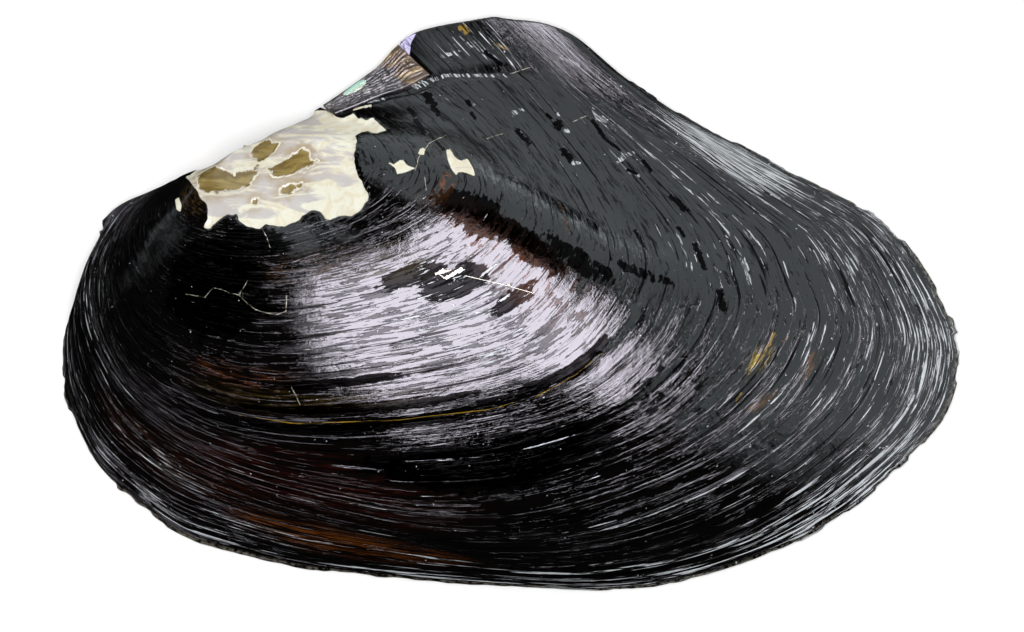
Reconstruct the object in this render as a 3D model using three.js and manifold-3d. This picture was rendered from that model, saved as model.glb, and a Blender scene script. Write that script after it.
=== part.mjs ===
// Left valve of a large winged freshwater mussel, lying on its rim with the
// outside up, and the torn rest of its ligament in the groove of the hinge.
// Millimetres. +X is the rear end, +Y the hinge side, +Z the top of the dome.
import * as THREE from "three";
import { mergeVertices } from "three/addons/utils/BufferGeometryUtils.js";
import Module from "manifold-3d";

const wasm = await Module();
wasm.setup();

// Driving dimensions.
const shellLength = 232;
const domeHeight = 40;
const coil = 1.1;
const coilSwell = 0.65;
const marginEdge = 0.5;
const hingeEdgeHeight = 2.4;
const beakStand = 8;
const beakRounding = 0.7;
const marginWall = 1.6;
const domeWall = 3.4;
const hingeWall = 3.2;
const umboWall = 2;
const ledgeHeight = 0.8;
const wornDepth = 0.8;
const hingePlateThickness = 5.5;
const hingeGrooveDepth = 1;
const toothGrooveWidth = 1.5;
const toothGrooveDepth = 1.2;
const ligamentSink = 1.2;
const ligamentRise = 0.9;
const clearance = 0.35;

// The outlines below are drawn for a shell of this length.
const drawnLength = 232;
const scale = shellLength / drawnLength;

// A growth line is the margin of the younger shell. Each one runs from the
// hinge edge in front of the beak, round the belly, to the edge of the wing,
// with its points at equal steps that number the stations 0 to 18.
const stationCount = 18;
const beak = [-69, 41];
const growthLines = [
  {
    size: 0.14,
    points: [
      [-77.5, 36.5], [-80.5, 34.5], [-82, 32], [-82.5, 29], [-80.5, 26], [-76.5, 24], [-71, 23],
      [-64, 23.5], [-57.5, 25.5], [-51.5, 28], [-47, 31], [-44, 34], [-43, 36.5], [-44, 39],
      [-45.5, 41.5], [-47.5, 43.5], [-50, 45], [-52, 46.5], [-54.5, 48],
    ],
  },
  {
    size: 0.3,
    points: [
      [-84.5, 33.5], [-89, 30], [-91.5, 25.5], [-92, 21], [-89.5, 16.5], [-84.5, 12.5], [-74, 9.5],
      [-60, 8.5], [-45.5, 11], [-32.5, 15], [-22.5, 20], [-16, 25.5], [-13, 30.5], [-13.5, 34.5],
      [-15.5, 38.5], [-20, 43], [-25.5, 48], [-31.5, 52.5], [-38.5, 58.5],
    ],
  },
  {
    size: 0.57,
    points: [
      [-91.5, 30], [-99, 23], [-103.5, 14], [-104.5, 5], [-102.5, -5], [-95, -16.5], [-79, -26],
      [-57.5, -30.5], [-29, -29.5], [-3, -25.5], [16, -18.5], [28.5, -7], [35, 4.5], [35, 12],
      [32.5, 19.5], [26, 30.5], [16.5, 43], [4.5, 57.5], [-9.5, 73.5],
    ],
  },
  {
    size: 0.76,
    points: [
      [-100.5, 26], [-105, 19.5], [-109.5, 10], [-110.5, -1], [-107, -13.5], [-98, -27.5], [-79.5, -40],
      [-53, -49], [-19.5, -55], [13.5, -53], [46.5, -41], [68.5, -24.5], [78.5, -7], [76.5, 5],
      [70.5, 17], [58.5, 27], [41.5, 40], [20.5, 55.5], [0.5, 73.5],
    ],
  },
  {
    size: 1,
    points: [
      [-106, 21.5], [-106, 18.5], [-107, 15], [-109.5, 9], [-112, 2.5], [-115, -5.5], [-116, -14.5],
      [-115, -25], [-111, -35.5], [-106.5, -43], [-98, -50.5], [-84, -60], [-65.5, -65.5],
      [-45.5, -69.5], [-23.5, -71.5], [-0.5, -73], [23, -74], [39.5, -72.5], [55.5, -69],
      [72.5, -62.5], [86.5, -54], [97, -45.5], [107.5, -35.5], [113.5, -26], [116, -15],
      [115, -7.5], [111.5, 1], [105, 12], [97.5, 20.5], [90, 25.5], [81, 30], [71, 35],
      [60.5, 40.5], [50, 45.5], [39.5, 52], [31, 57.5], [25, 62.5],
    ],
  },
];

// The edge of the wing and hinge from the beak backwards, by growth.
const hingeEdge = [
  [0, -69, 41], [0.07, -62, 44.5], [0.14, -54.5, 48], [0.22, -47, 52.5], [0.3, -38.5, 58.5],
  [0.36, -34, 62], [0.41, -30, 66.5], [0.46, -25, 70], [0.51, -18.5, 72], [0.57, -9.5, 73.5],
  [0.76, 0.5, 73.5], [0.84, 9, 72.5], [0.92, 17, 69], [1, 25, 62.5],
];

// How much of the full dome height each station reaches.
const lift = [
  0, 0.15, 0.3, 0.42, 0.54, 0.68, 0.84, 0.95, 1, 1, 1, 0.97, 0.9, 0.82, 0.7, 0.56, 0.38, 0.18, 0,
];

// Growth rests, each ending in a ledge that is a share of the full ledge height.
const growthRests = [
  [0.36, 0.35], [0.43, 0.4], [0.5, 0.45], [0.57, 1], [0.64, 0.7], [0.7, 0.6],
  [0.76, 1], [0.815, 0.7], [0.87, 0.8], [0.92, 0.9], [0.96, 0.6],
];

const firstRest = 0.3;

// Outline of the worn patch where the dark skin of the umbo is gone.
const wornPatch = [
  [-83.5, 33], [-81.5, 30], [-80, 26.5], [-77.5, 24], [-77.5, 19.5], [-74, 21.5], [-69.5, 22],
  [-66, 19.5], [-58, 20.5], [-53, 21.5], [-49.5, 22], [-45, 21.5], [-39.5, 23.5], [-36.5, 26.5],
  [-37, 29.5], [-38, 33], [-40, 35], [-39.5, 39], [-40, 42], [-39, 44], [-35, 44.5], [-32, 46],
  [-35, 48.5], [-37, 49], [-41, 48], [-43.5, 49], [-46, 47.5], [-54, 46.5], [-61.5, 43],
  [-69, 39.5], [-77, 35],
];

// Inner edge of the hinge plate, from the front end to the rear end of the wing.
const plateInnerEdge = [
  [-114, -4], [-109, 6], [-103, 14.5], [-94, 21.5], [-80, 28.5], [-68, 33.5], [-57, 38], [-46, 43],
  [-35, 49.5], [-26, 57], [-17, 62.5], [-7, 65], [5, 64], [15, 60], [26, 54], [38, 48.5], [52, 42],
];

// Middle lines of the two grooves that leave the long tooth between them.
const toothGrooves = [
  [[-51, 47], [-42, 52], [-33.5, 58.5], [-26, 64.5], [-16, 69], [-4, 70], [7, 68.5]],
  [[-47, 45.2], [-38, 50.5], [-29, 57.2], [-21, 62.8], [-13, 66], [-4, 67], [5, 66]],
];

const heart = new THREE.Vector3(-10, -5, 6);
const { smoothstep, lerp } = THREE.MathUtils;

function spline(points) {
  return new THREE.SplineCurve(points.map(([x, y]) => new THREE.Vector2(x * scale, y * scale)));
}

// Smooth curve through values that stand at uneven knots.
function blend(knots, values, at) {
  const last = knots.length - 1;
  const slope = (i) => {
    const from = Math.max(i - 1, 0);
    const to = Math.min(i + 1, last);
    const before = values[i].clone().sub(values[from]);
    const after = values[to].clone().sub(values[i]);
    if (i === 0) {
      return after.divideScalar(knots[1] - knots[0]);
    }
    if (i === last) {
      return before.divideScalar(knots[last] - knots[last - 1]);
    }
    const stepBefore = knots[i] - knots[i - 1];
    const stepAfter = knots[i + 1] - knots[i];
    before.multiplyScalar(stepAfter / stepBefore);
    after.multiplyScalar(stepBefore / stepAfter);
    return before.add(after).divideScalar(stepBefore + stepAfter);
  };
  let i = 0;
  while (i < last - 1 && at > knots[i + 1]) {
    i += 1;
  }
  const step = knots[i + 1] - knots[i];
  const t = (at - knots[i]) / step;
  const point = values[i].clone().multiplyScalar((1 + 2 * t) * (1 - t) ** 2);
  point.addScaledVector(slope(i), step * t * (1 - t) ** 2);
  point.addScaledVector(values[i + 1], t * t * (3 - 2 * t));
  point.addScaledVector(slope(i + 1), step * t * t * (t - 1));
  return point;
}

const sizes = [0, ...growthLines.map((line) => line.size)];
const curves = growthLines.map((line) => spline(line.points));
const beakPoint = new THREE.Vector2(beak[0] * scale, beak[1] * scale);
const hingeSizes = hingeEdge.map(([growth]) => growth);
const hingePoints = hingeEdge.map(([, x, y]) => new THREE.Vector2(x * scale, y * scale));
const liftCurve = new THREE.SplineCurve(lift.map((share, i) => new THREE.Vector2(i, share)));

function planPoint(station, growth) {
  const share = station / stationCount;
  const point = blend(sizes, [beakPoint, ...curves.map((curve) => curve.getPoint(share))], growth);
  const edgeShare = smoothstep(station, 15.5, stationCount);
  if (edgeShare > 0) {
    const drawnEnd = blend(sizes, [beakPoint, ...curves.map((curve) => curve.getPoint(1))], growth);
    const hingeEnd = blend(hingeSizes, hingePoints, growth);
    point.addScaledVector(hingeEnd.sub(drawnEnd), edgeShare);
  }
  return point;
}

// The shell turns up about its hinge as it grows, like any coiled shell.
const swell = (reach, turn) => reach ** coilSwell * Math.sin(turn);
const peakTurn = Math.atan(1 / (coilSwell * coil));
const peakReach = Math.exp(-coil * peakTurn);
const peakSwell = swell(peakReach, peakTurn);

function arch(reach) {
  const held = Math.min(Math.max(reach, 0.0001), 1);
  const turn = Math.min(-Math.log(held) / coil, Math.PI);
  const coiled = swell(held, turn) / peakSwell;
  const round = Math.sqrt(1 - Math.max(1 - held / peakReach, 0) ** 2);
  return lerp(coiled, round, beakRounding * (1 - smoothstep(held, 0.1, peakReach)));
}

// Near the beak the shell stands up close to the hinge on both sides.
function liftShare(station, growth) {
  const drawn = Math.max(liftCurve.getPoint(station / stationCount).y, 0);
  return drawn ** lerp(0.45, 1, smoothstep(growth, 0, 0.3));
}

// Height of the shell's edge over the rest plane: a thin margin, a blunt
// hinge edge, and a beak that stands clear of the hinge.
function edgeHeight(station, growth) {
  const hingeShare = 1 - smoothstep(station, 0, 2) + smoothstep(station, 15.5, 17.5);
  const blunt = (hingeEdgeHeight - marginEdge) * hingeShare * (1 - smoothstep(growth, 0.85, 1));
  return marginEdge + blunt + beakStand * (1 - smoothstep(growth, 0, 0.2));
}

function smoothPoint(station, growth) {
  const plan = planPoint(station, growth);
  const share = station / stationCount;
  const marginPoint = curves[curves.length - 1].getPoint(share);
  const reach = plan.distanceTo(beakPoint) / marginPoint.distanceTo(beakPoint);
  const edge = edgeHeight(station, growth);
  const rise = (domeHeight - edge) * liftShare(station, growth) * arch(reach);
  return new THREE.Vector3(plan.x, plan.y, edge + rise);
}

function outward(point) {
  return point.clone().sub(heart).normalize();
}

// Each growth rest leaves the older shell standing a little proud.
function ledge(station, growth) {
  const next = growthRests.findIndex(([rest]) => growth <= rest + 0.0001);
  if (next < 0) {
    return 0;
  }
  const start = next > 0 ? growthRests[next - 1][0] : firstRest;
  const [rest, share] = growthRests[next];
  const rise = Math.max(growth - start, 0) / (rest - start);
  const fade = smoothstep(station, 0, 2) * (1 - smoothstep(station, 16, stationCount));
  return ledgeHeight * share * rise * fade;
}

// The crease that parts the hinge strip from the wing.
const creaseStation = 17.15;
const creaseHalfWidth = 0.13;

function crease(station, growth) {
  const across = Math.max(1 - Math.abs(station - creaseStation) / creaseHalfWidth, 0);
  const along = smoothstep(growth, 0.17, 0.25) * (1 - smoothstep(growth, 0.52, 0.64));
  return hingeGrooveDepth * across * along;
}

function outerPoint(station, growth) {
  const point = smoothPoint(station, growth);
  return point.addScaledVector(outward(point), ledge(station, growth) - crease(station, growth));
}

function normalAt(station, growth) {
  const step = 0.02;
  const low = Math.max(station - step, 0);
  const high = Math.min(station + step, stationCount);
  const inner = Math.max(growth - 0.01, 0.02);
  const along = smoothPoint(high, growth).sub(smoothPoint(low, growth));
  const across = smoothPoint(station, Math.min(inner + 0.02, 1)).sub(smoothPoint(station, inner));
  return across.cross(along).normalize();
}

// A point below the outer surface by a true wall thickness.
function pointBelow(station, growth, thickness) {
  const point = smoothPoint(station, growth);
  const direction = outward(point);
  const facing = Math.max(Math.abs(direction.dot(normalAt(station, Math.max(growth, 0.06)))), 0.5);
  return point.addScaledVector(direction, -thickness / facing);
}

function wall(station, growth) {
  const thickness = lerp(domeWall, marginWall, smoothstep(growth, 0.3, 1));
  const hingeShare = 1 - smoothstep(station, 0, 1.5) + smoothstep(station, 16, stationCount);
  return lerp(thickness, hingeWall, hingeShare) + umboWall * (1 - smoothstep(growth, 0, 0.25));
}

function innerPoint(station, growth) {
  return pointBelow(station, growth, wall(station, growth));
}

function geometryFrom(positions, indices) {
  const geometry = new THREE.BufferGeometry();
  geometry.setAttribute("position", new THREE.Float32BufferAttribute(positions, 3));
  geometry.setIndex(indices);
  return geometry;
}

function toManifold(source) {
  source.deleteAttribute("normal");
  source.deleteAttribute("uv");
  const geometry = mergeVertices(source, 0.0001);
  return new wasm.Manifold(
    new wasm.Mesh({
      numProp: 3,
      vertProperties: new Float32Array(geometry.attributes.position.array),
      triVerts: new Uint32Array(geometry.index.array),
    }),
  );
}

function toGeometry(manifold) {
  const mesh = manifold.getMesh();
  return geometryFrom(Array.from(mesh.vertProperties), Array.from(mesh.triVerts));
}

const skirtDepth = 6;

// A closed dome over the growth lines: a fan at the beak, rows of squares out
// to the margin, a skirt straight down past the rest plane, and a flat base.
function domeSolid(pointAt, rows, stations) {
  const grid = rows.map((growth) => stations.map((station) => pointAt(station, growth)));
  const points = [pointAt(stationCount / 2, 0), ...grid.flat()];
  const width = stations.length;
  const at = (row, column) => 1 + row * width + column;
  const indices = [];
  for (let column = 0; column < width - 1; column += 1) {
    indices.push(0, at(0, column), at(0, column + 1));
    for (let row = 0; row < rows.length - 1; row += 1) {
      indices.push(at(row, column), at(row + 1, column), at(row + 1, column + 1));
      indices.push(at(row, column), at(row + 1, column + 1), at(row, column + 1));
    }
  }
  const lastRow = rows.length - 1;
  const loop = [0];
  rows.forEach((_, row) => loop.push(at(row, 0)));
  for (let column = 1; column < width - 1; column += 1) {
    loop.push(at(lastRow, column));
  }
  rows.forEach((_, row) => loop.push(at(lastRow - row, width - 1)));
  const underside = loop.map((corner, i) => points.length + i);
  loop.forEach((corner) => points.push(new THREE.Vector3(points[corner].x, points[corner].y, -skirtDepth)));
  loop.forEach((corner, i) => {
    const next = (i + 1) % loop.length;
    indices.push(loop[next], corner, underside[i]);
    indices.push(loop[next], underside[i], underside[next]);
  });
  const flat = underside.map((corner) => new THREE.Vector2(points[corner].x, points[corner].y));
  THREE.ShapeUtils.triangulateShape(flat, []).forEach(([a, b, c]) => {
    indices.push(underside[a], underside[c], underside[b]);
  });
  return geometryFrom(points.flatMap((point) => point.toArray()), indices);
}

// A closed pad over a stretch of the surface, with its own top and bottom.
function padSolid(topAt, bottomAt, stationsAt, growths, columns) {
  const points = [];
  const indices = [];
  const width = columns + 1;
  [topAt, bottomAt].forEach((pointAt) => {
    growths.forEach((growth) => {
      const [from, to] = stationsAt(growth);
      for (let column = 0; column <= columns; column += 1) {
        const across = column / columns;
        points.push(pointAt(lerp(from, to, across), growth, across));
      }
    });
  });
  const rows = growths.length;
  const layer = rows * width;
  const at = (row, column) => row * width + column;
  const square = (a, b, c, d) => indices.push(a, b, c, a, c, d);
  for (let row = 0; row < rows - 1; row += 1) {
    for (let column = 0; column < columns; column += 1) {
      const corners = [at(row, column), at(row + 1, column), at(row + 1, column + 1), at(row, column + 1)];
      square(...corners);
      square(...corners.map((corner) => corner + layer).reverse());
    }
    square(at(row + 1, 0), at(row, 0), at(row, 0) + layer, at(row + 1, 0) + layer);
    square(at(row, columns), at(row + 1, columns), at(row + 1, columns) + layer, at(row, columns) + layer);
  }
  for (let column = 0; column < columns; column += 1) {
    const last = rows - 1;
    square(at(0, column), at(0, column + 1), at(0, column + 1) + layer, at(0, column) + layer);
    square(at(last, column + 1), at(last, column), at(last, column) + layer, at(last, column + 1) + layer);
  }
  return geometryFrom(points.flatMap((point) => point.toArray()), indices);
}

function prism(outline, bottom, top) {
  const shape = new THREE.Shape(outline);
  const geometry = new THREE.ExtrudeGeometry(shape, { depth: top - bottom, bevelEnabled: false });
  return geometry.translate(0, 0, bottom);
}

function stepsBetween(from, to, steps) {
  return Array.from({ length: steps + 1 }, (_, i) => lerp(from, to, i / steps));
}

// The outside: a pair of rows at each growth rest makes its ledge.
const stations = stepsBetween(0, stationCount, 72);
stations.push(creaseStation, creaseStation - creaseHalfWidth, creaseStation + creaseHalfWidth);
stations.sort((a, b) => a - b);
const rows = [0.02, 0.05, 0.08, 0.11, 0.14, 0.18, 0.22, 0.26, firstRest];
growthRests.forEach(([rest], i) => {
  const before = i > 0 ? growthRests[i - 1][0] : firstRest;
  if (rest - before > 0.062) {
    rows.push((rest + before) / 2);
  }
  rows.push(rest, rest + 0.006);
});
rows.push(1);
const outside = toManifold(domeSolid(outerPoint, rows, stations)).trimByPlane([0, 0, 1], 0);

// The hollow, which leaves the flat hinge plate standing along the top edge.
const innerStations = stepsBetween(0, stationCount, 38);
const innerRows = [0.06, 0.12, 0.18, 0.25, 0.33, 0.42, 0.51, 0.6, 0.69, 0.78, 0.86, 0.93, 1];
const inside = toManifold(domeSolid(innerPoint, innerRows, innerStations));
const plateOuterEdge = [[44, 56], [28, 74], [0, 84], [-30, 78], [-50, 62], [-70, 50], [-96, 38], [-118, 26]];
const plateOutline = [
  ...spline(plateInnerEdge).getPoints(36),
  ...plateOuterEdge.map(([x, y]) => new THREE.Vector2(x * scale, y * scale)),
];
const plate = toManifold(prism(plateOutline, -8, hingePlateThickness));
const hollow = inside.subtract(plate);

// The worn patch is cut down to a surface a little below the outer one.
const wornPoint = (station, growth) => pointBelow(station, growth, wornDepth);
const wornRows = [0.02, 0.05, 0.08, 0.11, 0.14, 0.18, 0.22, 0.26, 0.3, 0.36, 0.5, 0.75, 1];
const wornBody = toManifold(domeSolid(wornPoint, wornRows, stations));
const wornOutline = wornPatch.map(([x, y]) => new THREE.Vector2(x * scale, y * scale));
const worn = toManifold(prism(wornOutline, 2, domeHeight + 10)).subtract(wornBody);

// Two shallow grooves in the hinge plate leave the long tooth between them.
function grooveSolid(points) {
  const curve = spline(points);
  const sides = [1, -1].map((side) =>
    stepsBetween(0, 1, 16).map((t) => {
      const tangent = curve.getTangent(t);
      const halfWidth = (toothGrooveWidth / 2) * Math.min(1, 0.35 + 3 * Math.min(t, 1 - t));
      return curve.getPoint(t).add(new THREE.Vector2(-tangent.y, tangent.x).multiplyScalar(side * halfWidth));
    }),
  );
  return toManifold(prism([...sides[0], ...sides[1].reverse()], -2, toothGrooveDepth));
}

// The ligament lies in a bed cut between the crease and the hinge edge.
const bedGrowths = [0.19, 0.42];
const bedStations = [creaseStation + 0.1, stationCount];
const bedFloor = 1;
const bedOverrun = 1.5;
const ripple = (growth) => Math.sin(growth * 90) * 0.15 + Math.sin(growth * 37) * 0.12;

function raised(station, growth, amount) {
  return smoothPoint(station, growth).addScaledVector(normalAt(station, growth), amount);
}

function bedPoint(station, growth, across, amount) {
  const point = raised(station, growth, amount);
  const past = outward(point).setZ(0).multiplyScalar(across === 1 ? bedOverrun : 0);
  return point.setZ(Math.max(point.z, bedFloor)).add(past);
}

const bedTop = (station, growth, across) => bedPoint(station, growth, across, 6);
const bedBottom = (station, growth, across) => bedPoint(station, growth, across, -ligamentSink - clearance);

function ligamentBottom(station, growth, across) {
  const point = raised(station, growth, ligamentSink * (0.6 * across * across - 1));
  return point.setZ(Math.max(point.z, bedFloor + clearance));
}

function ligamentTop(station, growth, across) {
  const crown = Math.sin(Math.PI * across);
  const point = raised(station, growth, ligamentRise * (0.35 + 0.65 * crown) + ripple(growth) * crown);
  return point.setZ(Math.max(point.z, ligamentBottom(station, growth, across).z + 0.7));
}

function ligamentStations(growth) {
  const [from, to] = bedStations;
  const width = smoothPoint(from, growth).distanceTo(smoothPoint(to, growth));
  const inset = (clearance / width) * (to - from);
  return [from + inset, to - inset];
}

const bed = toManifold(padSolid(bedTop, bedBottom, () => bedStations, stepsBetween(...bedGrowths, 16), 4));
const ligamentGrowths = stepsBetween(bedGrowths[0] + 0.006, bedGrowths[1] - 0.006, 16);
const ligamentBody = toManifold(
  padSolid(ligamentTop, ligamentBottom, ligamentStations, ligamentGrowths, 4),
);

const valveBody = outside
  .subtract(hollow)
  .subtract(worn)
  .subtract(grooveSolid(toothGrooves[0]))
  .subtract(grooveSolid(toothGrooves[1]))
  .subtract(bed);

const leftValve = new THREE.Mesh(
  toGeometry(valveBody),
  new THREE.MeshStandardMaterial({ name: "shell", color: "#191614", roughness: 0.35, metalness: 0 }),
);
leftValve.name = "left_valve";

const ligament = new THREE.Mesh(
  toGeometry(ligamentBody),
  new THREE.MeshStandardMaterial({ name: "ligament", color: "#6b4a1c", roughness: 0.5, metalness: 0 }),
);
ligament.name = "ligament";

// The origin is the middle of the footprint, on the plane that the rim rests on.
const box = new THREE.Box3().setFromObject(leftValve);
box.expandByObject(ligament);
const middle = box.getCenter(new THREE.Vector3());
[leftValve, ligament].forEach((mesh) => {
  mesh.geometry.translate(-middle.x, -middle.y, 0);
  mesh.geometry.computeVertexNormals();
});

const shell = new THREE.Group();
shell.name = "mussel_shell";
shell.add(leftValve, ligament);

export default shell;
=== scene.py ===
import math

import bmesh
import bpy
from mathutils import Matrix, Vector, noise
from mathutils.bvhtree import BVHTree


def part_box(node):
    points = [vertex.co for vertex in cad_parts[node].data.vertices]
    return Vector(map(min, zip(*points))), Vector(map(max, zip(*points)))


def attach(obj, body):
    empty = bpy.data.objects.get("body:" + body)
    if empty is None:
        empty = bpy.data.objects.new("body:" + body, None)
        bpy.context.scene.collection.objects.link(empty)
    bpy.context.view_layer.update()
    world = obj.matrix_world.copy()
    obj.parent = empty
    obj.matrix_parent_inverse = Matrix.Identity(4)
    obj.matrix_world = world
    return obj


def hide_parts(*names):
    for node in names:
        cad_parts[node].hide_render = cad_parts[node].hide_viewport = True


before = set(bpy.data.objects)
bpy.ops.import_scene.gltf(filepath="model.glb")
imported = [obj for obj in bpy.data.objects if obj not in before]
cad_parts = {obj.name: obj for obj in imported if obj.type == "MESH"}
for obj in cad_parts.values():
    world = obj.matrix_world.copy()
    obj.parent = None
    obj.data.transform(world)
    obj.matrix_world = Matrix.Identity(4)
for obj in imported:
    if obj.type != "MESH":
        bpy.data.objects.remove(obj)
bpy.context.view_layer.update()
millimetre = 0.001

# Form of the shell, in millimetres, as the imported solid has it
shellForm = {
    "stations": 18,
    "beak": (-69, 41),
    "growthLines": {
        0.14: [
            (-77.5, 36.5), (-80.5, 34.5), (-82, 32), (-82.5, 29), (-80.5, 26), (-76.5, 24), (-71, 23),
            (-64, 23.5), (-57.5, 25.5), (-51.5, 28), (-47, 31), (-44, 34), (-43, 36.5), (-44, 39),
            (-45.5, 41.5), (-47.5, 43.5), (-50, 45), (-52, 46.5), (-54.5, 48),
        ],
        0.3: [
            (-84.5, 33.5), (-89, 30), (-91.5, 25.5), (-92, 21), (-89.5, 16.5), (-84.5, 12.5), (-74, 9.5),
            (-60, 8.5), (-45.5, 11), (-32.5, 15), (-22.5, 20), (-16, 25.5), (-13, 30.5), (-13.5, 34.5),
            (-15.5, 38.5), (-20, 43), (-25.5, 48), (-31.5, 52.5), (-38.5, 58.5),
        ],
        0.57: [
            (-91.5, 30), (-99, 23), (-103.5, 14), (-104.5, 5), (-102.5, -5), (-95, -16.5), (-79, -26),
            (-57.5, -30.5), (-29, -29.5), (-3, -25.5), (16, -18.5), (28.5, -7), (35, 4.5), (35, 12),
            (32.5, 19.5), (26, 30.5), (16.5, 43), (4.5, 57.5), (-9.5, 73.5),
        ],
        0.76: [
            (-100.5, 26), (-105, 19.5), (-109.5, 10), (-110.5, -1), (-107, -13.5), (-98, -27.5), (-79.5, -40),
            (-53, -49), (-19.5, -55), (13.5, -53), (46.5, -41), (68.5, -24.5), (78.5, -7), (76.5, 5),
            (70.5, 17), (58.5, 27), (41.5, 40), (20.5, 55.5), (0.5, 73.5),
        ],
        1: [
            (-106, 21.5), (-106, 18.5), (-107, 15), (-109.5, 9), (-112, 2.5), (-115, -5.5), (-116, -14.5),
            (-115, -25), (-111, -35.5), (-106.5, -43), (-98, -50.5), (-84, -60), (-65.5, -65.5),
            (-45.5, -69.5), (-23.5, -71.5), (-0.5, -73), (23, -74), (39.5, -72.5), (55.5, -69),
            (72.5, -62.5), (86.5, -54), (97, -45.5), (107.5, -35.5), (113.5, -26), (116, -15),
            (115, -7.5), (111.5, 1), (105, 12), (97.5, 20.5), (90, 25.5), (81, 30), (71, 35),
            (60.5, 40.5), (50, 45.5), (39.5, 52), (31, 57.5), (25, 62.5),
        ],
    },
    "hingeEdge": {
        0: (-69, 41), 0.07: (-62, 44.5), 0.14: (-54.5, 48), 0.22: (-47, 52.5), 0.3: (-38.5, 58.5),
        0.36: (-34, 62), 0.41: (-30, 66.5), 0.46: (-25, 70), 0.51: (-18.5, 72), 0.57: (-9.5, 73.5),
        0.76: (0.5, 73.5), 0.84: (9, 72.5), 0.92: (17, 69), 1: (25, 62.5),
    },
    "lift": [
        0, 0.15, 0.3, 0.42, 0.54, 0.68, 0.84, 0.95, 1, 1, 1, 0.97, 0.9, 0.82, 0.7, 0.56, 0.38, 0.18, 0,
    ],
    "domeHeight": 40,
    "coil": 1.1,
    "coilSwell": 0.65,
    "beakRounding": 0.7,
    "marginEdge": 0.5,
    "hingeEdgeHeight": 2.4,
    "beakStand": 8,
    "walls": {"dome": 3.4, "margin": 1.6, "hinge": 3.2, "umbo": 2},
    "heart": (-10, -5, 6),  # outwards is away from here
}


def smoothStep(value, low, high):
    share = min(max((value - low) / (high - low), 0), 1)
    return share * share * (3 - 2 * share)


def mix(low, high, share):
    return low + (high - low) * share


def splinePoint(points, share):  # smooth curve through evenly spaced points
    last = len(points) - 1
    at = share * last
    i = min(int(at), last)
    t = at - i
    start, a, b, end = (points[min(max(i + step, 0), last)] for step in (-1, 0, 1, 2))
    slopeA = (b - start) * 0.5
    slopeB = (end - a) * 0.5
    cubic = (a - b) * 2 + slopeA + slopeB
    square = (b - a) * 3 - slopeA * 2 - slopeB
    return cubic * t ** 3 + square * t ** 2 + slopeA * t + a


def slopesAt(knots, values):
    slopes = []
    for i in range(len(knots)):
        before = max(i - 1, 0)
        after = min(i + 1, len(knots) - 1)
        if before == i or after == i:
            slopes.append((values[after] - values[before]) / (knots[after] - knots[before]))
            continue
        stepA = knots[i] - knots[before]
        stepB = knots[after] - knots[i]
        rise = (values[i] - values[before]) * (stepB / stepA) + (values[after] - values[i]) * (stepA / stepB)
        slopes.append(rise / (stepA + stepB))
    return slopes


def blendAt(knots, values, slopes, at):  # smooth curve through values at uneven knots
    i = 0
    while i < len(knots) - 2 and at > knots[i + 1]:
        i += 1
    step = knots[i + 1] - knots[i]
    t = (at - knots[i]) / step
    near = values[i] * ((1 + 2 * t) * (1 - t) ** 2) + slopes[i] * (step * t * (1 - t) ** 2)
    return near + values[i + 1] * (t * t * (3 - 2 * t)) + slopes[i + 1] * (step * t * t * (t - 1))


beak = Vector(shellForm["beak"])
heart = Vector(shellForm["heart"])
lastStation = shellForm["stations"]
middleStation = lastStation / 2
growthSizes = [0] + list(shellForm["growthLines"])
growthCurves = [[Vector(point) for point in line] for line in shellForm["growthLines"].values()]
drawnEnds = [beak] + [line[-1] for line in growthCurves]
drawnEndSlopes = slopesAt(growthSizes, drawnEnds)
hingeSizes = list(shellForm["hingeEdge"])
hingePoints = [Vector(point) for point in shellForm["hingeEdge"].values()]
hingeSlopes = slopesAt(hingeSizes, hingePoints)
liftPoints = [Vector((i, share)) for i, share in enumerate(shellForm["lift"])]


class Station:  # all that stays the same along one line from the beak to the margin
    def __init__(self, place):
        share = place / lastStation
        self.place = place
        self.points = [beak] + [splinePoint(curve, share) for curve in growthCurves]
        self.slopes = slopesAt(growthSizes, self.points)
        self.edgeShare = smoothStep(place, 15.5, 18)
        self.reach = (self.points[-1] - beak).length
        self.lift = max(splinePoint(liftPoints, share).y, 0)
        self.hingeShare = 1 - smoothStep(place, 0, 2) + smoothStep(place, 15.5, 17.5)


knownStations = {}


def stationAt(place):
    key = round(place, 5)
    if key not in knownStations:
        knownStations[key] = Station(place)
    return knownStations[key]


def swell(reach, turn):
    return reach ** shellForm["coilSwell"] * math.sin(turn)


peakTurn = math.atan(1 / (shellForm["coilSwell"] * shellForm["coil"]))
peakReach = math.exp(-shellForm["coil"] * peakTurn)
peakSwell = swell(peakReach, peakTurn)


def archHeight(reach):  # the shell turns up about its hinge as it grows
    held = min(max(reach, 0.0001), 1)
    coiled = swell(held, min(-math.log(held) / shellForm["coil"], math.pi)) / peakSwell
    domed = math.sqrt(1 - max(1 - held / peakReach, 0) ** 2)
    return mix(coiled, domed, shellForm["beakRounding"] * (1 - smoothStep(held, 0.1, peakReach)))


def smoothPoint(station, growth):
    plan = blendAt(growthSizes, station.points, station.slopes, growth)
    if station.edgeShare > 0:
        drawnEnd = blendAt(growthSizes, drawnEnds, drawnEndSlopes, growth)
        plan += (blendAt(hingeSizes, hingePoints, hingeSlopes, growth) - drawnEnd) * station.edgeShare
    edge = shellForm["marginEdge"] + shellForm["beakStand"] * (1 - smoothStep(growth, 0, 0.2))
    blunt = shellForm["hingeEdgeHeight"] - shellForm["marginEdge"]
    edge += blunt * station.hingeShare * (1 - smoothStep(growth, 0.85, 1))
    lift = station.lift ** mix(0.45, 1, smoothStep(growth, 0, 0.3))
    rise = (shellForm["domeHeight"] - edge) * lift * archHeight((plan - beak).length / station.reach)
    return Vector((plan.x, plan.y, edge + rise))


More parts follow.
